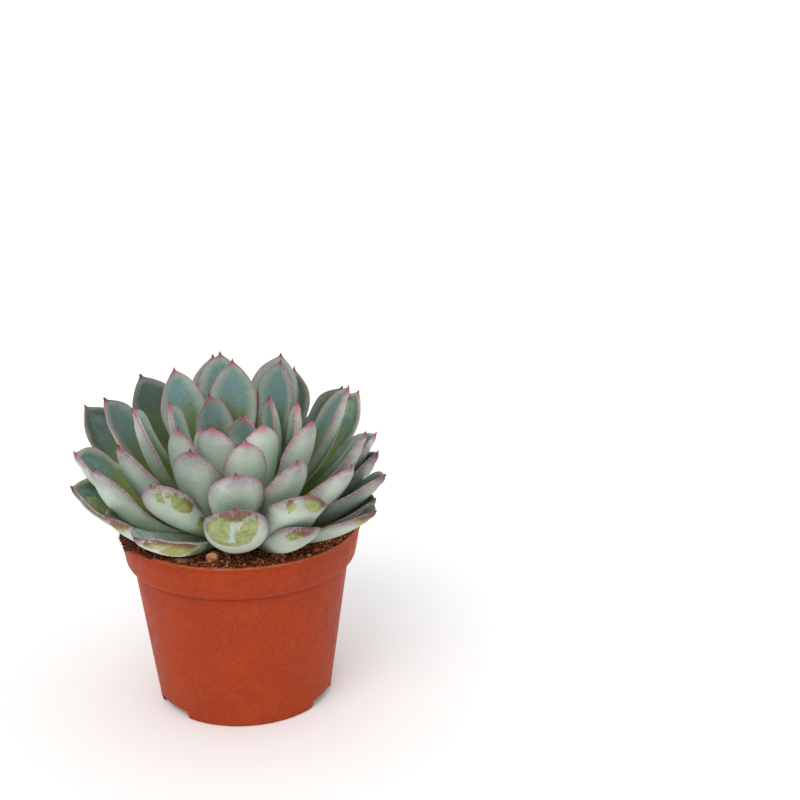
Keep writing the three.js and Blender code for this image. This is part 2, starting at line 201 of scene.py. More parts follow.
class Graph:
    """A material's nodes, made and joined by short calls."""

    def __init__(self, name):
        self.material = bpy.data.materials.new(name)
        self.material.use_nodes = True
        self.nodes = self.material.node_tree.nodes
        self.links = self.material.node_tree.links
        self.nodes.clear()
        self.shader = self.nodes.new("ShaderNodeBsdfPrincipled")
        output = self.nodes.new("ShaderNodeOutputMaterial")
        self.links.new(self.shader.outputs["BSDF"], output.inputs["Surface"])

    def feed(self, socket, value):
        if isinstance(value, bpy.types.NodeSocket):
            self.links.new(value, socket)
        else:
            socket.default_value = value

    def node(self, kind, *values, **settings):
        """A node's first output, with values fed to its first inputs."""
        node = self.nodes.new("ShaderNode" + kind)
        for name, setting in settings.items():
            setattr(node, name, setting)
        for socket, value in zip(node.inputs, values):
            self.feed(socket, value)
        return node.outputs[0]

    def surface(self, name, value):
        self.feed(self.shader.inputs[name], value)

    def finished(self, colour, roughness, normal=None, specular=0.5):
        """The material, with its main sockets fed."""
        self.surface("Base Color", colour)
        self.surface("Roughness", roughness)
        self.surface("Specular IOR Level", specular)
        if normal is not None:
            self.surface("Normal", normal)
        return self.material

    def math(self, operation, result, *others):
        for other in others:
            result = self.node("Math", result, other, operation=operation)
        return result

    def plus(self, *values):
        return self.math("ADD", *values)

    def times(self, *values):
        return self.math("MULTIPLY", *values)

    def swing(self, value, width):
        """A noise as a number about 0, its whole range as wide as width."""
        return self.times(self.math("SUBTRACT", value, 0.5), width)

    def span(self, value, low, high, start=0.0, end=1.0):
        """value from low to high as start to end, eased at both ends."""
        return self.node("MapRange", value, low, high, start, end, interpolation_type="SMOOTHSTEP")

    def mix(self, share, first, second, blend="MIX"):
        node = self.nodes.new("ShaderNodeMix")
        node.data_type = "RGBA"
        node.blend_type = blend
        self.feed(node.inputs[0], share)
        self.feed(node.inputs[6], first)
        self.feed(node.inputs[7], second)
        return node.outputs[2]

    def named(self, kind, **values):
        """A node's first output, with values fed to the inputs of these names."""
        node = self.nodes.new("ShaderNode" + kind)
        for name, value in values.items():
            self.feed(node.inputs[name], value)
        return node.outputs[0]

    def noise(self, vector, scale, detail=2.0, roughness=0.5, distortion=0.0):
        look = dict(Detail=detail, Roughness=roughness, Distortion=distortion)
        return self.named("TexNoise", Vector=vector, Scale=scale, **look)

    def place(self):
        return self.nodes.new("ShaderNodeTexCoord").outputs["Object"]

    def parts(self, vector):
        """The three numbers of a vector."""
        node = self.nodes.new("ShaderNodeSeparateXYZ")
        self.links.new(vector, node.inputs[0])
        return node.outputs

    def three(self, name):
        """The three numbers that a mesh holds at each point under a name."""
        node = self.nodes.new("ShaderNodeAttribute")
        node.attribute_name = name
        return self.parts(node.outputs["Vector"])

    def stretched(self, vector, factors):
        return self.node("VectorMath", vector, factors, operation="MULTIPLY")

    def joined(self, first, second, third):
        return self.node("CombineXYZ", first, second, third)

    def bump(self, height, strength, distance, under=None):
        below = {} if under is None else {"Normal": under}
        return self.named("Bump", Strength=strength, Distance=distance * MM, Height=height, **below)


# Leaves

# Colours of the leaves' skin
UPPER_BASE = linear(158, 162, 66)
UPPER_FOOT = linear(114, 132, 76)
UPPER_GREEN = linear(122, 151, 144)
UPPER_OLD = linear(74, 88, 70)
UPPER_BLUE = linear(112, 150, 160)
UPPER_PALE = linear(176, 188, 174)
UPPER_PAINTED_SHADE = linear(74, 92, 40)
UPPER_DULL = linear(84, 104, 78)
UNDER_FOOT = linear(128, 138, 66)
UNDER_POWDER = linear(196, 211, 192)
UNDER_COOL = linear(174, 197, 190)
UNDER_LIGHT = linear(206, 215, 204)
UNDER_MAUVE = linear(152, 128, 144)
FLUSH_OUTER = linear(140, 108, 122)
FLUSH_INNER = linear(172, 112, 134)
SKIN_OLIVE = linear(136, 148, 72)
SKIN_YELLOW = linear(164, 172, 106)
SKIN_RED = linear(112, 60, 54)
SKIN_SHADED = linear(58, 76, 38)
LINE_OLD = linear(98, 58, 60)
LINE_OUTER = linear(136, 78, 96)
LINE_INNER = linear(160, 66, 94)
SPINE_END = linear(112, 36, 48)


def leaf_shape(number):
    """A leaf's own angles and sizes: the rule for its age, and its habit."""
    age = number / (LEAF_COUNT - 1)
    habit = HABITS.get(number, {})
    rise = mix(*RISE, age**RISE_POWER) + habit.get("lift", 0)
    upright = share_between(rise, *UPRIGHT)
    shortening = share_between(age, SHORTER_FROM, 1) ** SHORTER_POWER
    narrowing = share_between(age, NARROWER_FROM, 1) ** NARROWER_POWER
    width = mix(*WIDTH, narrowing) + habit.get("wide", 0)
    return SimpleNamespace(
        age=age,
        turn=math.radians(FIRST_ANGLE - GOLDEN_ANGLE * number + habit.get("turn", 0)),
        rise=math.radians(rise),
        curl=math.radians(mix(*CURL, age) + habit.get("curl", 0)),
        twist=math.radians(habit.get("twist", 0)),
        length=mix(*LENGTH, shortening) + habit.get("long", 0),
        width=width,
        thickness=(THICKNESS + habit.get("thick", 0)) * width / WIDTH[0],
        reach=mix(*ATTACH_RADIUS, upright) - habit.get("inset", 0),
        height=mix(*ATTACH_HEIGHT, upright),
    )


def blade_width(along):
    """Half width as a share of the widest: a narrow neck, a broad shoulder, a short point."""
    swell = np.sin(math.pi / 2 * np.clip(along / WIDEST, 0, 1)) ** SHOULDER_POWER
    past = np.clip((along - WIDEST) / (1 - WIDEST), 0, 1)
    point = (1 - past**2) ** (TIP_POWER + TIP_POINT * past**5)
    return np.where(along < WIDEST, mix(NECK, 1, swell), point)


def blade_thickness(along):
    """Thickness as a share of the thickest, which lies about four tenths of the way along."""
    body = mix(THINNEST, 1, np.sin(math.pi * mix(FOOT_PHASE, 1, np.clip(along, 0, 1))))
    return body * np.clip((1 - along) / TIP_TAPER, 0, 1) ** 0.5


def midrib(leaf, along):
    """Points of the midrib, and the directions across the blade and out of its upper face."""
    turn = leaf.turn
    out = np.array([math.sin(turn), -math.cos(turn), 0])
    side = np.array([math.cos(turn), math.sin(turn), 0])
    up = np.array([0, 0, 1])
    start = leaf.rise - leaf.curl / 2
    slope = start + leaf.curl * np.clip(along, 0, None)
    radius = leaf.length / leaf.curl
    straight = np.minimum(0, along) * leaf.length
    outward = leaf.reach + radius * (np.sin(slope) - math.sin(start)) + straight * math.cos(start)
    upward = leaf.height + radius * (math.cos(start) - np.cos(slope)) + straight * math.sin(start)
    normal = -np.outer(np.sin(slope), out) + np.outer(np.cos(slope), up)
    twist = (leaf.twist * np.clip(along * 2, 0, 1))[:, None]
    point = np.outer(outward, out) + np.outer(upward, up)
    across = side * np.cos(twist) + normal * np.sin(twist)
    return point, across, normal * np.cos(twist) - side * np.sin(twist)


BLADE_STATIONS = 38
BLADE_END = 0.9985
CORNERS = 30
ROOT_DEPTH = 1.5
SPINE_LENGTH = 0.85
SPINE_WIDTH = 0.5
SPINE_STATIONS = (0.3, 0.55, 0.78, 0.93)
# How far from its end the spine starts to grow out of the blade, and is all there
SPINE_GROWTH = (4.5, 1.4)
UPPER_ROUND = 0.35
MARGIN_WAVE = 0.26
# Least and most waves along a margin
MARGIN_WAVES = (2.1, 3.0)
RUFFLE = 0.035
RUFFLE_DENSITY = 7.5
RUFFLED = {18: 0.09, 31: 0.08, 3: 0.07, 12: 0.07}
# Leaves whose section is less cupped towards the foot, as a share of the usual cup
FLATTENED = {13: 0.2}


def leaf_stations(leaf):
    """Shares of the length from the root to the end of the spine, closer together at the tip."""
    root = min(0, (CORE_RADIUS - ROOT_DEPTH - leaf.reach) / leaf.length)
    blade = 1 - (1 - np.linspace(0, 1, BLADE_STATIONS)) ** 1.5
    spine = 1 + SPINE_LENGTH / leaf.length * np.array(SPINE_STATIONS)
    return np.concatenate([[root, root * 0.5], blade[:-1], [BLADE_END], spine])


def leaf_surface(leaf, number):
    """The leaf's points, station by station round the section, and what each point's skin is like."""
    along = leaf_stations(leaf)
    point, across, normal = midrib(leaf, along)
    scale = leaf.width / WIDTH[0]
    to_end = np.clip((1 - along) * leaf.length + SPINE_LENGTH, 0, None)
    spine = SPINE_WIDTH * scale * to_end**0.85 * smooth_step(to_end, *SPINE_GROWTH)
    ruffle = np.array([noise.noise(Vector((share * RUFFLE_DENSITY, number * 3.3, 0.5))) for share in along])
    ruffle = RUFFLED.get(number, RUFFLE) * 2 * ruffle * smooth_step(along, 0.35, 0.6)
    half = np.hypot(leaf.width / 2 * blade_width(along), spine) * (1 + ruffle)
    thick = np.hypot(leaf.thickness * blade_thickness(along), spine)[:, None]
    angle = np.linspace(0, 2 * math.pi, CORNERS, endpoint=False)
    share = np.cos(angle)
    upper = np.sin(angle) >= -1e-9
    # The section: cupped, rounded off above at its edges, and with a full belly below
    cup = CUP * mix(FLATTENED.get(number, 1), 1, smooth_step(along, 0.5, 0.85))
    rounding = np.clip(1 - share**8, 0, 1) ** 0.5 * UPPER_ROUND * scale
    ease = np.clip((1 - along) / 0.04, 0.15, 1)[:, None]
    belly = np.clip(1 - share**2, 0, 1) ** 0.6 * thick
    lift = (cup * half)[:, None] * share**2 + np.where(upper, rounding * ease, -belly)
    waves = mix(*MARGIN_WAVES, hashed(number, 1))
    wave = np.sin(2 * math.pi * (along * waves + hashed(number, 2)))
    wave = MARGIN_WAVE * scale * wave * smooth_step(along, 0.3, 0.8)
    lift = lift + wave[:, None] * share**6 * np.sign(share)
    wide = half[:, None] * share
    points = point[:, None] + across[:, None] * wide[..., None] + normal[:, None] * lift[..., None]
    edge = half[:, None] * (1 - np.abs(share))
    edge = np.where(upper, edge, np.hypot(edge, belly * 0.6))
    place = np.broadcast_arrays(wide, (along * leaf.length)[:, None], np.sin(angle))
    return points, np.stack(place, -1), edge, along


def hashed(number, salt):
    """A steady number from 0 to 1 for a leaf."""
    return random.Random(number * 31 + salt * 977).random()


# How light the powder makes single leaves, with painted light and shade mixed in, as factors: the upper
# face, and the underside towards the tip and towards the foot
POWDER_AND_PAINTED_LIGHT = {
    0: (2.4, 1.0, 1.1),
    3: (1.75, 0.7, 0.7),
    5: (1.0, 0.72, 0.78),
    7: (1.0, 0.68, 0.8),
    10: (0.8, 0.82, 0.55),
    12: (1.8, 1.45, 1.45),
    13: (1.0, 0.87, 0.83),
    15: (1.0, 0.85, 0.9),
    16: (1.1, 0.88, 1.45),
    18: (1.0, 0.88, 0.6),
    20: (1.3, 1.3, 1.3),
    21: (1.1, 0.9, 1.22),
    23: (1.0, 1.12, 1.1),
    24: (1.25, 1.25, 1.25),
    25: (0.56, 0.62, 0.62),
    27: (0.58, 0.65, 0.65),
    29: (1.0, 0.7, 0.72),
    32: (0.78, 0.84, 0.84),
    33: (0.8, 1.0, 1.0),
    34: (0.78, 0.72, 0.38),
    37: (1.5, 1.0, 1.04),
    38: (0.88, 1.0, 1.0),
    39: (1.0, 1.08, 1.08),
    40: (1.18, 1.1, 1.1),
    42: (0.88, 0.8, 0.8),
    44: (1.25, 1.3, 1.75),
    45: (1.4, 1.0, 1.0),
    47: (1.0, 1.12, 0.98),
    49: (1.3, 1.3, 1.3),
    51: (1.3, 1.3, 1.3),
}

# Rubbed patches, where the powder is gone: leaf, face (1 upper, -1 under), centre across and along the
# leaf, half width and half length in millimetres, and tilt in degrees
RUBBED = [
    (13, -1, -3.8, 29.8, 2.4, 5.2, -13),
    (13, -1, 2.35, 30.0, 2.2, 4.7, -13),
    (13, -1, -0.8, 24.8, 2.8, 0.9, 8),
    (13, -1, -0.3, 36.5, 3.2, 1.3, 0),
    (21, -1, 0.5, 36.8, 0.6, 1.9, -5),
    (21, -1, 2.7, 34.8, 0.45, 1.6, 20),
    (21, -1, 3.1, 29.8, 1.3, 4.2, 9),
    (21, -1, 2.9, 17.6, 0.6, 2.0, -13),
    (8, -1, 2.6, 30.3, 2.4, 1.8, 40),
    (8, 1, 1.8, 27.6, 2.2, 4.2, 0),
    (18, -1, -3.1, 35.3, 0.7, 1.3, -8),
    (18, -1, 2.5, 35.9, 1.6, 3.6, 43),
    (0, -1, 3.9, 22.3, 2.1, 6.0, 4),
    (0, -1, 2.4, 13.6, 0.8, 1.4, 10),
    (0, -1, 2.4, 31.4, 0.7, 2.4, 33),
    (0, -1, 4.3, 30.6, 0.5, 3.6, 20),
    (5, -1, -2.6, 28.6, 0.8, 1.8, -19),
    (5, -1, -0.4, 31.2, 0.9, 1.6, -67),
    (10, -1, -1.6, 35.4, 1.5, 2.6, -20),
    (3, 1, 1.5, 27.5, 2.6, 4.6, -12),
    (3, -1, 5.7, 29.5, 0.8, 5.5, 18),
    (12, 1, 1.6, 34.6, 0.7, 3.4, -14),
    (6, -1, 2.4, 28.0, 1.4, 3.0, 10),
    (9, -1, -1.5, 30.0, 1.6, 3.2, -15),
    (17, -1, 2.0, 30.5, 1.0, 3.4, 12),
]

# Half the band round an edge where the underside turns into the upper face, as a sine round the section
FACE_LIMIT = 0.06
FAR_OUTSIDE = -9.0


def rub_depth(number, place):
    """How deep inside a rubbed patch each point of a leaf lies, in millimetres, negative outside."""
    depth = np.full(place.shape[:-1], FAR_OUTSIDE)
    for leaf, face, across, along, half_width, half_length, tilt in RUBBED:
        if leaf != number:
            continue
        angle = math.radians(tilt)
        sideways, onwards = place[..., 0] - across, place[..., 1] - along
        x = sideways * math.cos(angle) + onwards * math.sin(angle)
        y = onwards * math.cos(angle) - sideways * math.sin(angle)
        inside = (1 - np.hypot(x / half_width, y / half_length)) * min(half_width, half_length)
        depth = np.maximum(depth, np.where(place[..., 2] * face > 0, inside, FAR_OUTSIDE))
    return depth


def powder_and_painted_light_tone(number, place, along):
    """How light the powder, with painted light and shade, makes each point of a leaf."""
    upper, tip, foot = POWDER_AND_PAINTED_LIGHT.get(number, (1, 1, 1))
    under = mix(foot, tip, smooth_step(along, 0.5, 0.85))[:, None]
    return np.where(place[..., 2] > -FACE_LIMIT, upper, under) * mix(0.95, 1.05, hashed(number, 4))


def grid_faces(rows, columns, start):
    """Quads of a closed band of points, rows one after another."""
    row = np.arange(rows - 1)[:, None] * columns
    column = np.arange(columns)[None, :]
    beside = (column + 1) % columns
    quads = np.stack([row + column, row + columns + column, row + columns + beside, row + beside], -1)
    return (quads.reshape(-1, 4) + start).tolist()


def capped_faces(rows, columns):
    """The same band, closed by a face at either end."""
    faces = [tuple(reversed(face)) for face in grid_faces(rows, columns, 0)]
    faces.append(tuple(reversed(range(columns))))
    faces.append(tuple(range((rows - 1) * columns, rows * columns)))
    return faces


def angles_round(count):
    return [2 * math.pi * i / count for i in range(count)]


def around(radius, angle, height):
    """A point about the pot's axis."""
    return (radius * math.cos(angle), radius * math.sin(angle), height)


def mesh_object(name, points, faces, material, smooth=True):
    mesh = bpy.data.meshes.new(name)
    mesh.from_pydata([tuple(point) for point in np.asarray(points) * MM], [], faces)
    mesh.materials.append(material)
    mesh.polygons.foreach_set("use_smooth", [smooth] * len(mesh.polygons))
    mesh.update()
    return add(name, mesh)


def add(name, data):
    """A new object in the scene."""
    made = bpy.data.objects.new(name, data)
    bpy.context.scene.collection.objects.link(made)
    return made


def give(made, name, values):
    """A vector for every point of a mesh, that its material reads."""
    held = made.data.attributes.new(name, "FLOAT_VECTOR", "POINT")
    held.data.foreach_set("vector", np.asarray(values, np.float32).ravel())


def rosette_frame():
    lean = Euler((math.radians(LEAN_FORWARD), 0, 0)).to_matrix()
    tilt = Euler((0, math.radians(LEAN_RIGHT), 0)).to_matrix()
    return np.array(tilt @ lean), np.array([*ROSETTE_CENTRE, POT_HEIGHT])


def to_pot(points):
    turn, shift = rosette_frame()
    return np.asarray(points) @ turn.T + shift


def leaves():
    points, faces, places, skins, selves = [], [], [], [], []
    for number in range(LEAF_COUNT):
        leaf = leaf_shape(number)
        ring_points, place, edge, along = leaf_surface(leaf, number)
        start = len(points)
        rows, columns = ring_points.shape[:2]
        points += list(ring_points.reshape(-1, 3))
        faces += grid_faces(rows, columns, start)
        depth = rub_depth(number, place)
        tip = np.broadcast_to(((1 - along) * leaf.length)[:, None], edge.shape)
        places += list(place.reshape(-1, 3))
        skins += list(np.stack([edge, tip, depth], -1).reshape(-1, 3))
        end_along = np.array([along[0], 1 + SPINE_LENGTH / leaf.length])
        ends = midrib(leaf, end_along)[0]
        foot, top = len(points), len(points) + 1
        points += list(ends)
        places += [(0, along[0] * leaf.length, 0), (0, leaf.length + SPINE_LENGTH, 0)]
        skins += [(2, leaf.length, FAR_OUTSIDE), (0, -SPINE_LENGTH, FAR_OUTSIDE)]
        tone = powder_and_painted_light_tone(number, place, along)
        selves += [(leaf.age, hashed(number, 3), shade) for shade in [*tone.ravel(), 1.0, 1.0]]
        last = start + (rows - 1) * columns
        for i in range(columns):
            beside = (i + 1) % columns
            faces.append((foot, start + i, start + beside))
            faces.append((top, last + beside, last + i))
    made = mesh_object("leaves", to_pot(points), faces, leaf_material())
    give(made, "leaf_place", places)
    give(made, "leaf_skin", skins)
    give(made, "leaf_self", selves)
    return made


def leaf_readings(g):
    """What the leaf material reads at a point: distances in from the edge, back from the tip and into a
    rubbed patch, the leaf's own numbers, and noises."""
    at = SimpleNamespace()
    across, along, at.side = g.three("leaf_place")
    at.edge, at.tip, at.rub = g.three("leaf_skin")
    at.age, chance, at.tone = g.three("leaf_self")
    at.share = g.math("DIVIDE", along, g.plus(along, at.tip))
    at.inner = g.span(at.age, 0.35, 0.9)
    # Every leaf has its own patch of each noise; two of them are drawn out along the leaf
    across = g.plus(across, g.times(chance, 90.0))
    apart = g.times(at.age, 700.0)
    shortened = g.times(along, 0.12)
    own = g.joined(across, along, apart)
    drawn = g.joined(across, shortened, apart)
    slanted = g.joined(g.plus(across, g.times(along, 0.5)), shortened, apart)
    at.broad = g.noise(own, 0.16, 3.0, 0.5)
    at.cloudy = g.noise(own, 0.42, 4.0, 0.6)
    at.ragged = g.noise(own, 1.7, 5.0, 0.7)
    at.mottled = g.noise(own, 3.0, 4.0, 0.7)
    at.streaks = g.noise(drawn, 1.3, 3.0, 0.6)
    at.scratches = g.noise(slanted, 5.0, 3.0, 0.6)
    at.grown = g.plus(at.share, g.swing(at.broad, 0.3), g.swing(at.ragged, 0.16))
    # The flush near the edges: mauve on old leaves, pinker on the inner ones
    at.flush_tint = g.mix(at.inner, FLUSH_OUTER, FLUSH_INNER)
    near_edge = g.times(g.span(at.edge, 2.3, 0.2), g.span(at.share, 0.45, 0.85))
    at.flush = g.times(near_edge, g.span(at.ragged, 0.28, 0.66, 0.25, 1.0))
    return at


def upper_face(g, at):
    """Grey-green, darker on old leaves, with a blue bloom along the middle, an olive foot, and painted
    shade deep between the inner leaves.
    """
    colour = g.mix(g.span(at.age, 0.3, 0.72), UPPER_OLD, UPPER_GREEN)
    bloom = g.times(g.span(at.edge, 1.6, 4.6), g.span(at.share, 0.5, 0.78))
    bloom = g.times(bloom, g.span(at.cloudy, 0.36, 0.6, 0.25, 1.0), g.span(at.age, 0.25, 0.65, 0.4, 0.78))
    bloom = g.times(bloom, g.span(at.tone, 0.6, 0.95, 0.2, 1.0))
    colour = g.mix(bloom, colour, UPPER_BLUE)
    spotty = g.times(g.span(at.mottled, 0.44, 0.62), g.span(at.share, 0.95, 0.55, 0.18, 0.6))
    colour = g.mix(spotty, colour, UPPER_DULL)
    colour = g.mix(g.span(at.age, 0.72, 0.92, 0.0, 0.12), colour, UPPER_PALE)
    # Paler towards the edges, in a band of uneven width
    paling = g.plus(at.edge, g.swing(at.cloudy, 2.6), g.span(at.age, 0.5, 0.2, 0.0, 1.4))
    pale = g.times(g.span(paling, 3.4, 0.3), g.span(at.share, 0.24, 0.6), 0.72)
    colour = g.mix(pale, colour, UPPER_PALE)
    # Olive at the foot, less of it near the edges, and yellow-green at the very base
    grown = g.plus(at.grown, g.span(at.edge, 3.6, 0.4, 0.0, 0.2))
    colour = g.mix(g.span(grown, 0.84, 0.52), colour, UPPER_FOOT)
    colour = g.mix(g.span(grown, 0.6, 0.36), colour, UPPER_BASE)
    # Painted shade: deep between the inner leaves the upper face is darkened
    painted_shade = g.times(g.span(grown, 0.78, 0.5), g.span(at.age, 0.5, 0.7, 0.0, 0.7))
    colour = g.mix(painted_shade, colour, UPPER_PAINTED_SHADE)
    # An upper face that has kept its powder is pale all over
    kept = g.times(g.span(at.tone, 1.9, 2.3), g.span(at.cloudy, 0.34, 0.62, 0.35, 0.8))
    colour = g.mix(kept, colour, UNDER_COOL)
    colour = g.mix(g.times(at.flush, 0.15), colour, at.flush_tint)
    return g.mix(g.span(at.streaks, 0.35, 0.65, 0.0, 0.05), colour, UPPER_PALE)


def underside(g, at):
    """Green at the foot, pale powder beyond, mauve at the tip and along the edges near it."""
    colour = g.mix(g.span(at.grown, 0.2, 0.64), UNDER_FOOT, UNDER_POWDER)
    colour = g.mix(g.span(at.broad, 0.42, 0.62, 0.0, 0.55), colour, UNDER_COOL)
    colour = g.mix(g.span(at.cloudy, 0.45, 0.7, 0.0, 0.5), colour, UNDER_LIGHT)
    rim = g.times(g.span(at.edge, 3.4, 0.3), g.span(at.share, 0.7, 0.92), 0.8)
    blush = g.math("MAXIMUM", g.span(at.tip, 7.0, 0.4), rim)
    blush = g.times(blush, g.span(at.cloudy, 0.3, 0.65, 0.35, 1.0), g.span(at.age, 0.5, 0.8, 1.0, 0.5), 0.9)
    colour = g.mix(blush, colour, UNDER_MAUVE)
    flush = g.times(at.flush, g.span(at.inner, 0.2, 1.0, 0.5, 0.34))
    colour = g.mix(flush, colour, at.flush_tint)
    return g.mix(g.span(at.streaks, 0.4, 0.65, 0.0, 0.14), colour, UNDER_COOL)


def rubbed_skin(g, at):
    """Yellow-green, red-brown near the edge, darker on the upper face, with fine pale scratches."""
    colour = g.mix(g.span(at.cloudy, 0.35, 0.62), SKIN_OLIVE, SKIN_YELLOW)
    reddish = g.times(g.span(at.tip, 4.2, 2.2), g.span(at.age, 0.28, 0.24))
    reddish = g.math("MAXIMUM", g.span(at.edge, 1.7, 0.4), reddish)
    colour = g.mix(g.times(reddish, 0.85), colour, SKIN_RED)
    colour = g.mix(g.span(at.side, -FACE_LIMIT, FACE_LIMIT, 0.0, 0.6), colour, SKIN_SHADED)
    scratched = g.times(g.span(at.scratches, 0.53, 0.63), g.span(reddish, 0.6, 0.1, 0.15, 0.48))
    scratched = g.times(scratched, g.span(at.age, 0.3, 0.25, 0.15, 1.0))
    return g.mix(scratched, colour, UNDER_LIGHT)


def with_edge_line(g, at, colour):
    """A thin crimson line along the edge that comes and goes, browner on old leaves, and a dark spine."""
    wobble = g.plus(at.edge, g.swing(at.ragged, 0.5))
    line = g.times(g.span(wobble, 0.8, 0.04), g.span(at.share, 0.26, 0.6))
    line = g.times(line, g.span(at.ragged, 0.3, 0.62, 0.25, 0.75))
    tint = g.mix(g.span(at.age, 0.0, 0.3), LINE_OLD, LINE_OUTER)
    tint = g.mix(at.inner, tint, LINE_INNER)
    colour = g.mix(line, colour, tint)
    near_tip = g.span(at.tip, g.span(at.inner, 0.0, 1.0, 1.3, 2.4), 0.0, 0.0, 0.8)
    colour = g.mix(near_tip, colour, tint)
    return g.mix(g.span(at.tip, 0.1, -0.7), colour, SPINE_END)


def leaf_material():
    g = Graph("leaf_skin")
    at = leaf_readings(g)
    colour = g.mix(g.span(at.side, -FACE_LIMIT, FACE_LIMIT), underside(g, at), upper_face(g, at))
    torn = g.plus(g.swing(at.ragged, 1.9), g.swing(at.streaks, 1.3))
    worn = g.span(g.plus(at.rub, torn), -0.3, -0.1)
    colour = g.mix(worn, colour, rubbed_skin(g, at))
    # Small dark nicks on the oldest leaves
    nicks = g.times(g.span(at.scratches, 0.34, 0.28), g.span(at.ragged, 0.6, 0.68))
    nicks = g.times(nicks, g.span(at.age, 0.4, 0.2, 0.0, 0.8))
    colour = g.mix(nicks, colour, SKIN_SHADED)
    colour = with_edge_line(g, at, colour)
    # Each leaf's powder tone, which also holds painted light and shade, lightens or darkens its colour
    lightness = g.times(at.tone, g.span(at.tone, 1.9, 2.3, 1.0, 0.45))
    colour = g.mix(1.0, colour, g.joined(lightness, lightness, lightness), "MULTIPLY")
    # Fine grain of the powder
    grain = g.noise(g.place(), 1100.0, 4.0, 0.65)
    powder = g.noise(g.place(), 2600.0, 3.0, 0.65)
    dust = g.mix(g.span(powder, 0.32, 0.68), (0.12, 0.12, 0.12, 1), (1, 1, 1, 1))
    colour = g.mix(0.2, colour, dust, "SOFT_LIGHT")
    rough = g.span(worn, 0.0, 1.0, 0.64, 0.4)
    rough = g.plus(rough, g.span(grain, 0.3, 0.7, -0.05, 0.06))
    g.surface("Subsurface Weight", 0.12)
    g.surface("Subsurface Radius", (0.6, 1.0, 0.45))
    g.surface("Subsurface Scale", 1.2 * MM)
    ripple = g.bump(at.cloudy, 0.35, 0.35)
    fold = g.bump(at.streaks, 0.1, 0.2, ripple)
    return g.finished(colour, rough, g.bump(grain, 0.3, 0.08, fold), specular=0.3)


# Stem

# Heights count from the level of the rim
STEM_HEIGHTS = (-8.8, 6.2)
STEM_RADIUS = 3.35
# It swells into the core and closes above it: how much wider, and between which heights
GROWTHS = [(4.4, -2.4, 1.4), (-6.2, 2.6, 7.0)]
SCAR_DENSITY = 2.6
SCAR_RELIEF = 0.18
STEM_ROWS = 40
STEM_COLUMNS = 36
STEM_DARK = linear(96, 78, 52)
STEM_LIGHT = linear(146, 132, 92)
STEM_SPOT = linear(70, 50, 34)


def stem():
    """A short stalk with rings of old leaf scars, which swells into the core that bears the leaves."""
    points = []
    for row in range(STEM_ROWS):
        height = mix(*STEM_HEIGHTS, row / (STEM_ROWS - 1))
        radius = STEM_RADIUS
        for growth, low, high in GROWTHS:
            radius += growth * float(smooth_step(height, low, high))
        for angle in angles_round(STEM_COLUMNS):
            bump = noise.noise(Vector((math.cos(angle) * 2.2, math.sin(angle) * 2.2, height * 0.9)))
            scar = max(0.0, math.sin(height * SCAR_DENSITY + 1.5 * math.sin(angle * 3)))
            reach = max(0.2, radius * (1 + 0.08 * bump) + SCAR_RELIEF * scar)
            points.append(around(reach, angle, height))
    return mesh_object("stem", to_pot(points), capped_faces(STEM_ROWS, STEM_COLUMNS), stem_material())


def stem_material():
    g = Graph("stem_bark")
    place = g.place()
    streaks = g.noise(g.stretched(place, (1.0, 1.0, 0.35)), 900.0, 5.0, 0.65)
    spots = g.noise(place, 2200.0, 4.0, 0.6)
    colour = g.mix(g.span(streaks, 0.35, 0.65), STEM_DARK, STEM_LIGHT)
    colour = g.mix(g.span(spots, 0.55, 0.7, 0.0, 0.6), colour, STEM_SPOT)
    return g.finished(colour, 0.8, g.bump(streaks, 0.6, 0.3))


# Pot

POT_DULL = linear(152, 53, 22)
POT_BRIGHT = linear(161, 55, 17)
POT_MOTTLE = linear(138, 52, 24)
POT_SCUFF = linear(168, 98, 86)
POT_LIGHT_SPECK = linear(178, 84, 46)
POT_DARK_SPECK = linear(106, 38, 20)
POT_LIP_HIGHLIGHT = linear(222, 138, 104)
POT_SHARP = 32


def turned(name, profile, segments, material):
    """A closed solid of revolution from radius and height pairs that start and end on the axis."""
    points = [(0, 0, profile[0][1])]
    for radius, height in profile[1:-1]:
        points += [around(radius, angle, height) for angle in angles_round(segments)]
    points.append((0, 0, profile[-1][1]))
    faces = []
    for i in range(segments):
        beside = (i + 1) % segments
        faces.append((0, 1 + beside, 1 + i))
        for band in range(len(profile) - 3):
            low = 1 + band * segments
            faces.append((low + i, low + beside, low + segments + beside, low + segments + i))
        low = 1 + (len(profile) - 3) * segments
        faces.append((low + i, low + beside, len(points) - 1))
    return mesh_object(name, points, faces, material)


def arc(centre, radius, start, end, steps):
    """Points of a rounded edge in the profile's plane, angles in degrees from straight out."""
    angles = [math.radians(mix(start, end, step / steps)) for step in range(steps + 1)]
    return [(centre[0] + radius * math.cos(a), centre[1] + radius * math.sin(a)) for a in angles]


def moved(offsets, radius, height):
    return [(radius + out, height + up) for out, up in offsets]


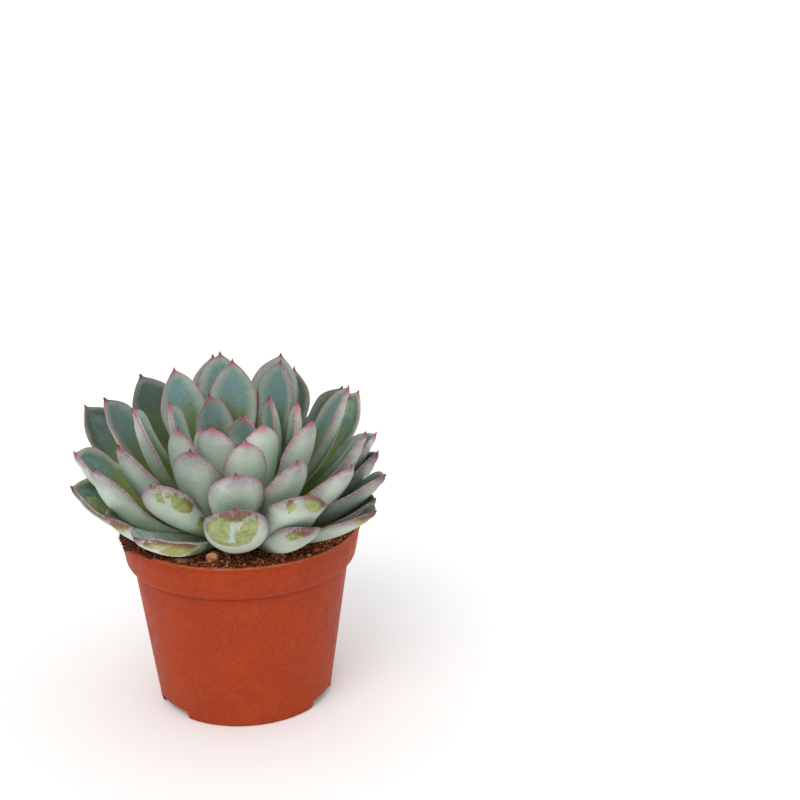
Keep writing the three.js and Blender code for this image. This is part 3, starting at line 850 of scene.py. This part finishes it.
def pot_outside():
    """Radius and height pairs up the outside, from the middle of the foot to the top of the lip."""
    foot = [(0, 0), (8, 0), (15.2, 0), (BASE_RADIUS - 1.2, 0)]
    foot += arc((BASE_RADIUS - 0.55, 0.55), 0.55, -80, -6, 5)
    wall = [(22.1, 2.2), (23.2, 10), (24.5, 19.5), (25.8, 29)]
    # A bead and a groove under the band, the band itself, and a groove under the lip
    bead = [(-0.08, -1.5), (-0.1, -0.8), (-0.22, -0.45), (-0.16, -0.2), (0.2, -0.22), (0.75, -0.3)]
    edge = [(-0.5, -0.12), (-0.16, 0.3), (0.08, 0.8), (0.2, 1.3), (0.7, 4.1)]
    groove = [(-0.32, -1.5), (-0.38, -1.25), (-0.34, -1.02), (-0.1, -0.84)]
    wall += moved(bead, WALL_TOP_RADIUS, BAND_BOTTOM)
    band = moved(edge, BAND_RADIUS, BAND_BOTTOM)
    lip = moved(groove, RIM_RADIUS, POT_HEIGHT)
    lip += arc((RIM_RADIUS - 0.42, POT_HEIGHT - 0.42), 0.42, -25, 90, 8)
    return foot + wall + band + lip


def pot_inside():
    """Radius and height pairs down the inside, from the top of the lip to the middle of the floor."""
    return [
        *arc((RIM_RADIUS - 0.62, POT_HEIGHT - 0.3), 0.3, 90, 175, 5),
        (RIM_RADIUS - WALL - 0.12, POT_HEIGHT - 1.0),
        (BAND_RADIUS - WALL + 0.1, BAND_BOTTOM + 1.4),
        (WALL_TOP_RADIUS - WALL, BAND_BOTTOM - 0.2),
        (BASE_RADIUS - WALL + 0.2, FLOOR),
        (0, FLOOR),
    ]


def notch_block(skin, inner, angle, flare=0.0):
    """A bar that runs outwards through the foot, as wide as a notch grown by skin, with round upper
    corners. A flare rounds off the foot where a notch meets the ground."""
    half, top, corner = NOTCH_WIDTH / 2 + skin, NOTCH_HEIGHT + skin, NOTCH_CORNER + skin
    outline = [(-half - flare, BELOW_GROUND), (half + flare, BELOW_GROUND)]
    if flare:
        outline += arc((half + flare, flare), flare, 270, 180, 6)
    outline += arc((half - corner, top - corner), corner, 0, 90, 6)
    outline += arc((corner - half, top - corner), corner, 90, 180, 6)
    if flare:
        outline += arc((-half - flare, flare), flare, 0, -90, 6)
    points = [Vector((reach, y, z)) for reach in (inner, NOTCH_OUTER) for y, z in outline]
    return bar("notch_tool", points, angle)


def slot_block(angle):
    """A round-ended bar that stands in the roof of a notch."""
    outline = arc((0, SLOT_HALF_LENGTH), SLOT_RADIUS, 0, 180, 10)
    outline += arc((0, -SLOT_HALF_LENGTH), SLOT_RADIUS, 180, 360, 10)
    points = [Vector((SLOT_REACH + x, y, z)) for z in SLOT_HEIGHTS for x, y in outline]
    return bar("slot_tool", points, angle)


def bar(name, points, angle):
    """A closed bar between two like outlines, the first half of the points and the second."""
    turn = Matrix.Rotation(math.radians(angle - 90), 3, "Z")
    count = len(points) // 2
    faces = [tuple(reversed(range(count))), tuple(range(count, 2 * count))]
    faces += [(i, (i + 1) % count, (i + 1) % count + count, i + count) for i in range(count)]
    return mesh_object(name, [turn @ point for point in points], faces, None, smooth=False)


def combined(made, tool, operation):
    """Joins a tool to a mesh or cuts it out, and removes the tool."""
    change = made.modifiers.new("change", "BOOLEAN")
    change.operation = operation
    change.solver = "MANIFOLD"
    change.object = tool
    graph = bpy.context.evaluated_depsgraph_get()
    result = bpy.data.meshes.new_from_object(made.evaluated_get(graph))
    made.modifiers.clear()
    made.data = result
    bpy.data.objects.remove(tool)
    return made


def pot():
    material = pot_material()
    outside = pot_outside()
    made = turned("pot_wall", [*outside, *pot_inside()], POT_SEGMENTS, material)
    for angle in NOTCH_ANGLES:
        casing = notch_block(NOTCH_SKIN, NOTCH_INNER - NOTCH_SKIN, angle)
        envelope = turned("envelope", [*outside, (0, POT_HEIGHT)], POT_SEGMENTS, material)
        casing = combined(casing, envelope, "INTERSECT")
        made = combined(made, casing, "UNION")
    for angle in NOTCH_ANGLES:
        made = combined(made, notch_block(0, NOTCH_INNER, angle, NOTCH_FLARE), "DIFFERENCE")
        made = combined(made, slot_block(angle), "DIFFERENCE")
    mesh = made.data
    mesh.name = "pot_wall"
    mesh.materials.clear()
    mesh.materials.append(material)
    mesh.polygons.foreach_set("material_index", [0] * len(mesh.polygons))
    mesh.polygons.foreach_set("use_smooth", [True] * len(mesh.polygons))
    mesh.set_sharp_from_angle(angle=math.radians(POT_SHARP))
    return made


def pot_material():
    g = Graph("pot_plastic")
    place = g.place()
    speckle = g.noise(place, 2600.0, 3.0, 0.75)
    mottle = g.noise(place, 420.0, 5.0, 0.6)
    broad = g.noise(place, 90.0, 4.0, 0.55)
    scuffs = g.noise(g.stretched(place, (1.0, 1.0, 0.7)), 150.0, 6.0, 0.7, 0.6)
    colour = g.mix(g.span(broad, 0.35, 0.65), POT_DULL, POT_BRIGHT)
    colour = g.mix(g.span(mottle, 0.35, 0.7, 0.0, 0.2), colour, POT_MOTTLE)
    colour = g.mix(g.span(scuffs, 0.58, 0.8, 0.0, 0.42), colour, POT_SCUFF)
    colour = g.mix(g.span(speckle, 0.5, 0.66, 0.0, 0.5), colour, POT_LIGHT_SPECK)
    colour = g.mix(g.span(speckle, 0.46, 0.32, 0.0, 0.5), colour, POT_DARK_SPECK)
    # Painted highlight: the top of the lip is painted paler, as where light catches its rounded edge
    lip = g.span(g.parts(place)[2], (POT_HEIGHT - 0.34) * MM, (POT_HEIGHT - 0.1) * MM)
    lip = g.times(lip, g.span(mottle, 0.3, 0.6, 0.1, 0.42))
    colour = g.mix(lip, colour, POT_LIP_HIGHLIGHT)
    rough = g.span(mottle, 0.3, 0.7, 0.46, 0.6)
    coarse = g.bump(mottle, 0.2, 0.12)
    return g.finished(colour, rough, g.bump(speckle, 0.25, 0.05, coarse), specular=0.14)


# Soil

# The relief of the soil's top, from broad to fine: how dense, where in the noise, and how high
SOIL_RELIEF = [(0.45, 3.1, 0.42), (1.1, 7.7, 0.3), (3.1, 1.3, 0.14)]

# Loose pieces on the soil: kind, how many, least and greatest half size
CRUMBS = [("grain", 6800, 0.1, 0.28), ("clod", 520, 0.26, 0.7), ("fibre", 320, 0.08, 0.14)]
CRUMB_ROUGHNESS = 0.3
CRUMB_RADIUS = 28.1
CRUMB_LIMIT = 28.35

# The heap on the rim at the left: the share of it that lies inside the rim, and where it hangs over
HEAP_ANGLES = (198, 235)
HEAP_RADII = (26, 30.0)
HEAP_END = 30.8
HEAP_RUN = 4.8
HEAP_HEIGHT = 2.1
HEAP_COUNT = 1300
HEAP_INSIDE = 0.65
HEAP_FIBRES = 0.35
HANG_ANGLE = 209
HANG_SPREAD = 6
HANG_DEPTH = 1.7


def soil_height(radius, angle):
    """The soil's top: lowest under the leaves and rising to the rim, with lumps, clods and grit."""
    height = SOIL_LEVEL + mix(SOIL_DIP, SOIL_RISE, share_between(radius, *SOIL_SLOPE))
    x, y, _ = around(radius, angle, 0)
    for density, where, relief in SOIL_RELIEF:
        height += relief * noise.noise(Vector((x * density, y * density, where)))
    return height


def soil():
    sides = [
        (1.5, FLOOR + SOIL_GAP),
        (BASE_RADIUS - WALL - SOIL_GAP, FLOOR + SOIL_GAP),
        (WALL_TOP_RADIUS - WALL - SOIL_GAP, BAND_BOTTOM - 0.2),
        (BAND_RADIUS - WALL - SOIL_GAP, BAND_BOTTOM + 1.4),
    ]
    points = []
    for radius, height in sides:
        points += [around(radius, angle, height) for angle in angles_round(SOIL_COLUMNS)]
    for ring in range(SOIL_RINGS):
        radius = SOIL_RADIUS * (1 - ring / SOIL_RINGS) ** 0.8
        for angle in angles_round(SOIL_COLUMNS):
            points.append(around(radius, angle, soil_height(radius, angle)))
    faces = capped_faces(len(sides) + SOIL_RINGS, SOIL_COLUMNS)
    return mesh_object("soil_bed", points, faces, soil_material())


def soil_colour(g, value):
    """Dark peat, red-brown fibre and ochre grit, chosen by a number from 0 to 1."""
    node = g.nodes.new("ShaderNodeValToRGB")
    ramp = node.color_ramp
    stops = [
        (0.0, linear(64, 34, 24)),
        (0.3, linear(146, 74, 48)),
        (0.6, linear(192, 106, 68)),
        (0.8, linear(216, 146, 86)),
        (0.93, linear(236, 190, 116)),
        (1.0, linear(242, 212, 172)),
    ]
    while len(ramp.elements) < len(stops):
        ramp.elements.new(0.5)
    for element, (position, colour) in zip(ramp.elements, stops):
        element.position = position
        element.color = colour
    g.feed(node.inputs[0], value)
    return node.outputs[0]


def soil_material():
    g = Graph("soil_peat")
    place = g.place()
    grains = g.noise(place, 1900.0, 5.0, 0.75)
    clods = g.noise(place, 420.0, 4.0, 0.6)
    value = g.plus(g.span(grains, 0.35, 0.75, -0.05, 0.85), g.span(clods, 0.3, 0.7, -0.2, 0.12))
    return g.finished(soil_colour(g, value), 0.95, g.bump(grains, 1.0, 0.35), specular=0.2)


def crumb_material():
    g = Graph("soil_crumb")
    kind = g.three("crumb")[0]
    grains = g.noise(g.place(), 3000.0, 3.0, 0.6)
    value = g.plus(kind, g.span(grains, 0.3, 0.7, -0.1, 0.1))
    return g.finished(soil_colour(g, value), 0.9, g.bump(grains, 0.5, 0.1), specular=0.2)


def ball(divisions):
    """Points and faces of a ball of radius 1."""
    mesh = bmesh.new()
    bmesh.ops.create_icosphere(mesh, subdivisions=divisions, radius=1.0)
    points = np.array([vertex.co for vertex in mesh.verts])
    faces = [[vertex.index for vertex in face.verts] for face in mesh.faces]
    mesh.free()
    return points, faces


def scatter(draw, lay):
    """Grains, clods and fibres all over the soil."""
    for kind, count, least, most in CRUMBS:
        for _ in range(count):
            angle = draw.uniform(0, 2 * math.pi)
            size = least * (most / least) ** draw.random()
            stretch = np.array([draw.uniform(0.8, 1.5), draw.uniform(0.7, 1.1), draw.uniform(0.6, 1.0)])
            tone = draw.random() ** 1.2
            if kind == "fibre":
                stretch = np.array([draw.uniform(5, 11), 1.0, 0.7])
                tone = draw.uniform(0.3, 0.95)
            reach = size * float(stretch.max())
            radius = min(CRUMB_RADIUS * math.sqrt(draw.uniform(0.12, 1.0)), CRUMB_LIMIT - reach)
            spin = (draw.uniform(-0.5, 0.5), draw.uniform(-0.3, 0.3), draw.uniform(0, 6.28))
            height = soil_height(radius, angle) + size * 0.35
            lay(kind, radius, angle, height, size, stretch, spin, tone)


def heap(draw, lay):
    """Peat and root fibres that have slipped over the rim and hang down a little outside."""
    for _ in range(HEAP_COUNT):
        angle = draw.triangular(*HEAP_ANGLES, HANG_ANGLE)
        along = draw.random()
        radius = mix(*HEAP_RADII, min(1, along / HEAP_INSIDE))
        over = max(0, (along - HEAP_INSIDE) / (1 - HEAP_INSIDE))
        hang = HANG_DEPTH * math.exp(-(((angle - HANG_ANGLE) / HANG_SPREAD) ** 2))
        pile = HEAP_HEIGHT * draw.random() * math.sqrt(max(0.08, (HEAP_END - radius) / HEAP_RUN))
        kind = "fibre" if draw.random() < HEAP_FIBRES else "clod"
        if kind == "fibre":
            size = draw.uniform(0.06, 0.1)
            stretch = np.array([draw.uniform(6, 12), 1.0, 0.8])
        else:
            size = draw.uniform(0.12, 0.26 if over else 0.4)
            stretch = np.array([1.3, 1.0, 0.75])
        outward = math.radians(angle)
        tilt = draw.uniform(-0.5, 0.5)
        spin = (tilt, draw.uniform(-0.3, 0.3) + over, outward + draw.uniform(-1.1, 1.1))
        height = POT_HEIGHT + (0.3 * pile if over else pile) - over * hang
        radius += draw.uniform(0, 0.15) if over else 0
        lay(kind, radius, outward, height, size, stretch, spin, draw.uniform(-0.15, 0.22))


def crumbs():
    """The loose soil, as one mesh."""
    draw = random.Random(17)
    shapes = {"grain": ball(1), "clod": ball(2), "fibre": ball(1)}
    points, faces, kinds = [], [], []

    def lay(kind, radius, angle, height, size, stretch, spin, tone):
        shape, shape_faces = shapes[kind]
        rough = 1 + CRUMB_ROUGHNESS * np.array([draw.uniform(-1, 1) for _ in shape])
        start = len(points)
        turn = np.array(Euler(spin).to_matrix())
        points.extend((shape * rough[:, None] * stretch * size) @ turn.T + around(radius, angle, height))
        faces.extend([start + i for i in face] for face in shape_faces)
        kinds.extend([(tone, 0, 0)] * len(shape))

    scatter(draw, lay)
    heap(draw, lay)
    made = mesh_object("soil_crumbs", points, faces, crumb_material(), smooth=False)
    give(made, "crumb", kinds)
    return made


# Bark

BARK_FACETS = 15
BARK_CUTS = (0.55, 0.8)
BARK_SHARP = 28


def bark_piece(name, place, size, spin, seed, material):
    """A broken chip of bark: a ball cut flat by slanting planes and roughened."""
    shape, faces = ball(5)
    draw = random.Random(seed)
    planes = []
    for _ in range(BARK_FACETS):
        away = Vector((draw.uniform(-1, 1), draw.uniform(-1, 1), draw.uniform(-1, 1))).normalized()
        planes.append((away, draw.uniform(*BARK_CUTS)))
    points = []
    for point in shape:
        at = Vector(point)
        reach = min([1.0] + [far / max(at.dot(away), 0.01) for away, far in planes])
        rough = 1 + 0.05 * noise.noise(at * 3.1 + Vector((seed, 0, 0))) + 0.03 * noise.noise(at * 9)
        points.append(np.array(at) * reach * rough * np.array(size))
    turn = np.array(Euler(spin).to_matrix())
    made = mesh_object(name, np.array(points) @ turn.T + np.array(place), faces, material)
    made.data.set_sharp_from_angle(angle=math.radians(BARK_SHARP))
    return made


def bark_material(name, dark, light, spot):
    g = Graph(name)
    place = g.place()
    layers = g.noise(g.stretched(place, (1.0, 1.0, 4.0)), 700.0, 5.0, 0.65)
    spots = g.noise(place, 2400.0, 3.0, 0.6)
    colour = g.mix(g.span(layers, 0.35, 0.65), dark, light)
    colour = g.mix(g.span(spots, 0.55, 0.75, 0.0, 0.7), colour, spot)
    return g.finished(colour, 0.85, g.bump(layers, 0.8, 0.25))


def bark_chip():
    """A tan chip that lies on the soil in front."""
    tan = bark_material("bark_tan", linear(226, 140, 86), linear(255, 206, 154), linear(160, 88, 58))
    place, size, spin = (-4.3, -21.7, 44.95), (1.75, 1.35, 1.1), (0.35, 0.1, 0.5)
    return bark_piece("bark_chip_skin", place, size, spin, 2, tan)


def bark_flake():
    """A thin brown flake that lies on the soil by the front rim."""
    brown = bark_material("bark_brown", linear(150, 86, 72), linear(196, 132, 112), linear(110, 60, 48))
    place, size, spin = (-11.0, -23.3, 44.7), (2.5, 0.95, 0.3), (0.35, 0.05, -0.25)
    return bark_piece("bark_flake", place, size, spin, 5, brown)


# Stage

FLOOR_HALF = 60000
WORLD_STRENGTH = 0.84
# Distant soft lamps: name, azimuth from the front towards the right, elevation, strength, width in
# degrees, colour
LAMPS = [
    ("key", -20, 46, 1.05, 36, (1.0, 0.99, 0.975)),
    ("front", 4, 14, 0.2, 60, (0.98, 0.99, 1.0)),
    ("fill", 50, 30, 0.12, 60, (0.97, 0.985, 1.0)),
    ("top", 0, 80, 0.12, 70, (1.0, 1.0, 1.0)),
]
# The camera's place is in metres
CAMERA_PLACE = (0.03981, -0.32918, 0.17677)
CAMERA_PITCH = 16.86
CAMERA_LENS = 63.5
SENSOR_WIDTH = 36


def floor():
    corners = [(-1, -1), (1, -1), (1, 1), (-1, 1)]
    points = [(FLOOR_HALF * x, FLOOR_HALF * y, 0) for x, y in corners]
    paper = Graph("floor_paper").finished(linear(250, 250, 250), 0.9, specular=0.1)
    made = mesh_object("floor", points, [(0, 1, 2, 3)], paper, smooth=False)


def lights():
    world = bpy.data.worlds.new("studio")
    world.use_nodes = True
    background = world.node_tree.nodes["Background"]
    background.inputs["Color"].default_value = (1, 1, 1, 1)
    background.inputs["Strength"].default_value = WORLD_STRENGTH
    bpy.context.scene.world = world
    for name, azimuth, elevation, strength, width, colour in LAMPS:
        light = bpy.data.lights.new(name, "SUN")
        light.energy = strength
        light.angle = math.radians(width)
        light.color = colour
        turn, tilt = math.radians(azimuth), math.radians(elevation)
        ahead = Vector((math.sin(turn), -math.cos(turn), 0))
        towards = ahead * math.cos(tilt) + Vector((0, 0, math.sin(tilt)))
        add(name, light).rotation_euler = towards.to_track_quat("Z", "Y").to_euler()


def camera():
    lens = bpy.data.cameras.new("camera")
    lens.sensor_width = SENSOR_WIDTH
    lens.lens = CAMERA_LENS
    lens.clip_start = 0.01
    made = add("camera", lens)
    made.location = CAMERA_PLACE
    made.rotation_euler = (math.radians(90 - CAMERA_PITCH), 0, 0)
    bpy.context.scene.camera = made


def dress(made, node):
    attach(made, "root")
    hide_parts(node)


bpy.context.scene.view_settings.view_transform = "Standard"
dress(leaves(), "rosette")
dress(stem(), "rosette")
dress(pot(), "pot")
dress(soil(), "potting_soil")
dress(crumbs(), "potting_soil")
dress(bark_chip(), "bark_chip")
dress(bark_flake(), "potting_soil")
floor()
lights()
camera()
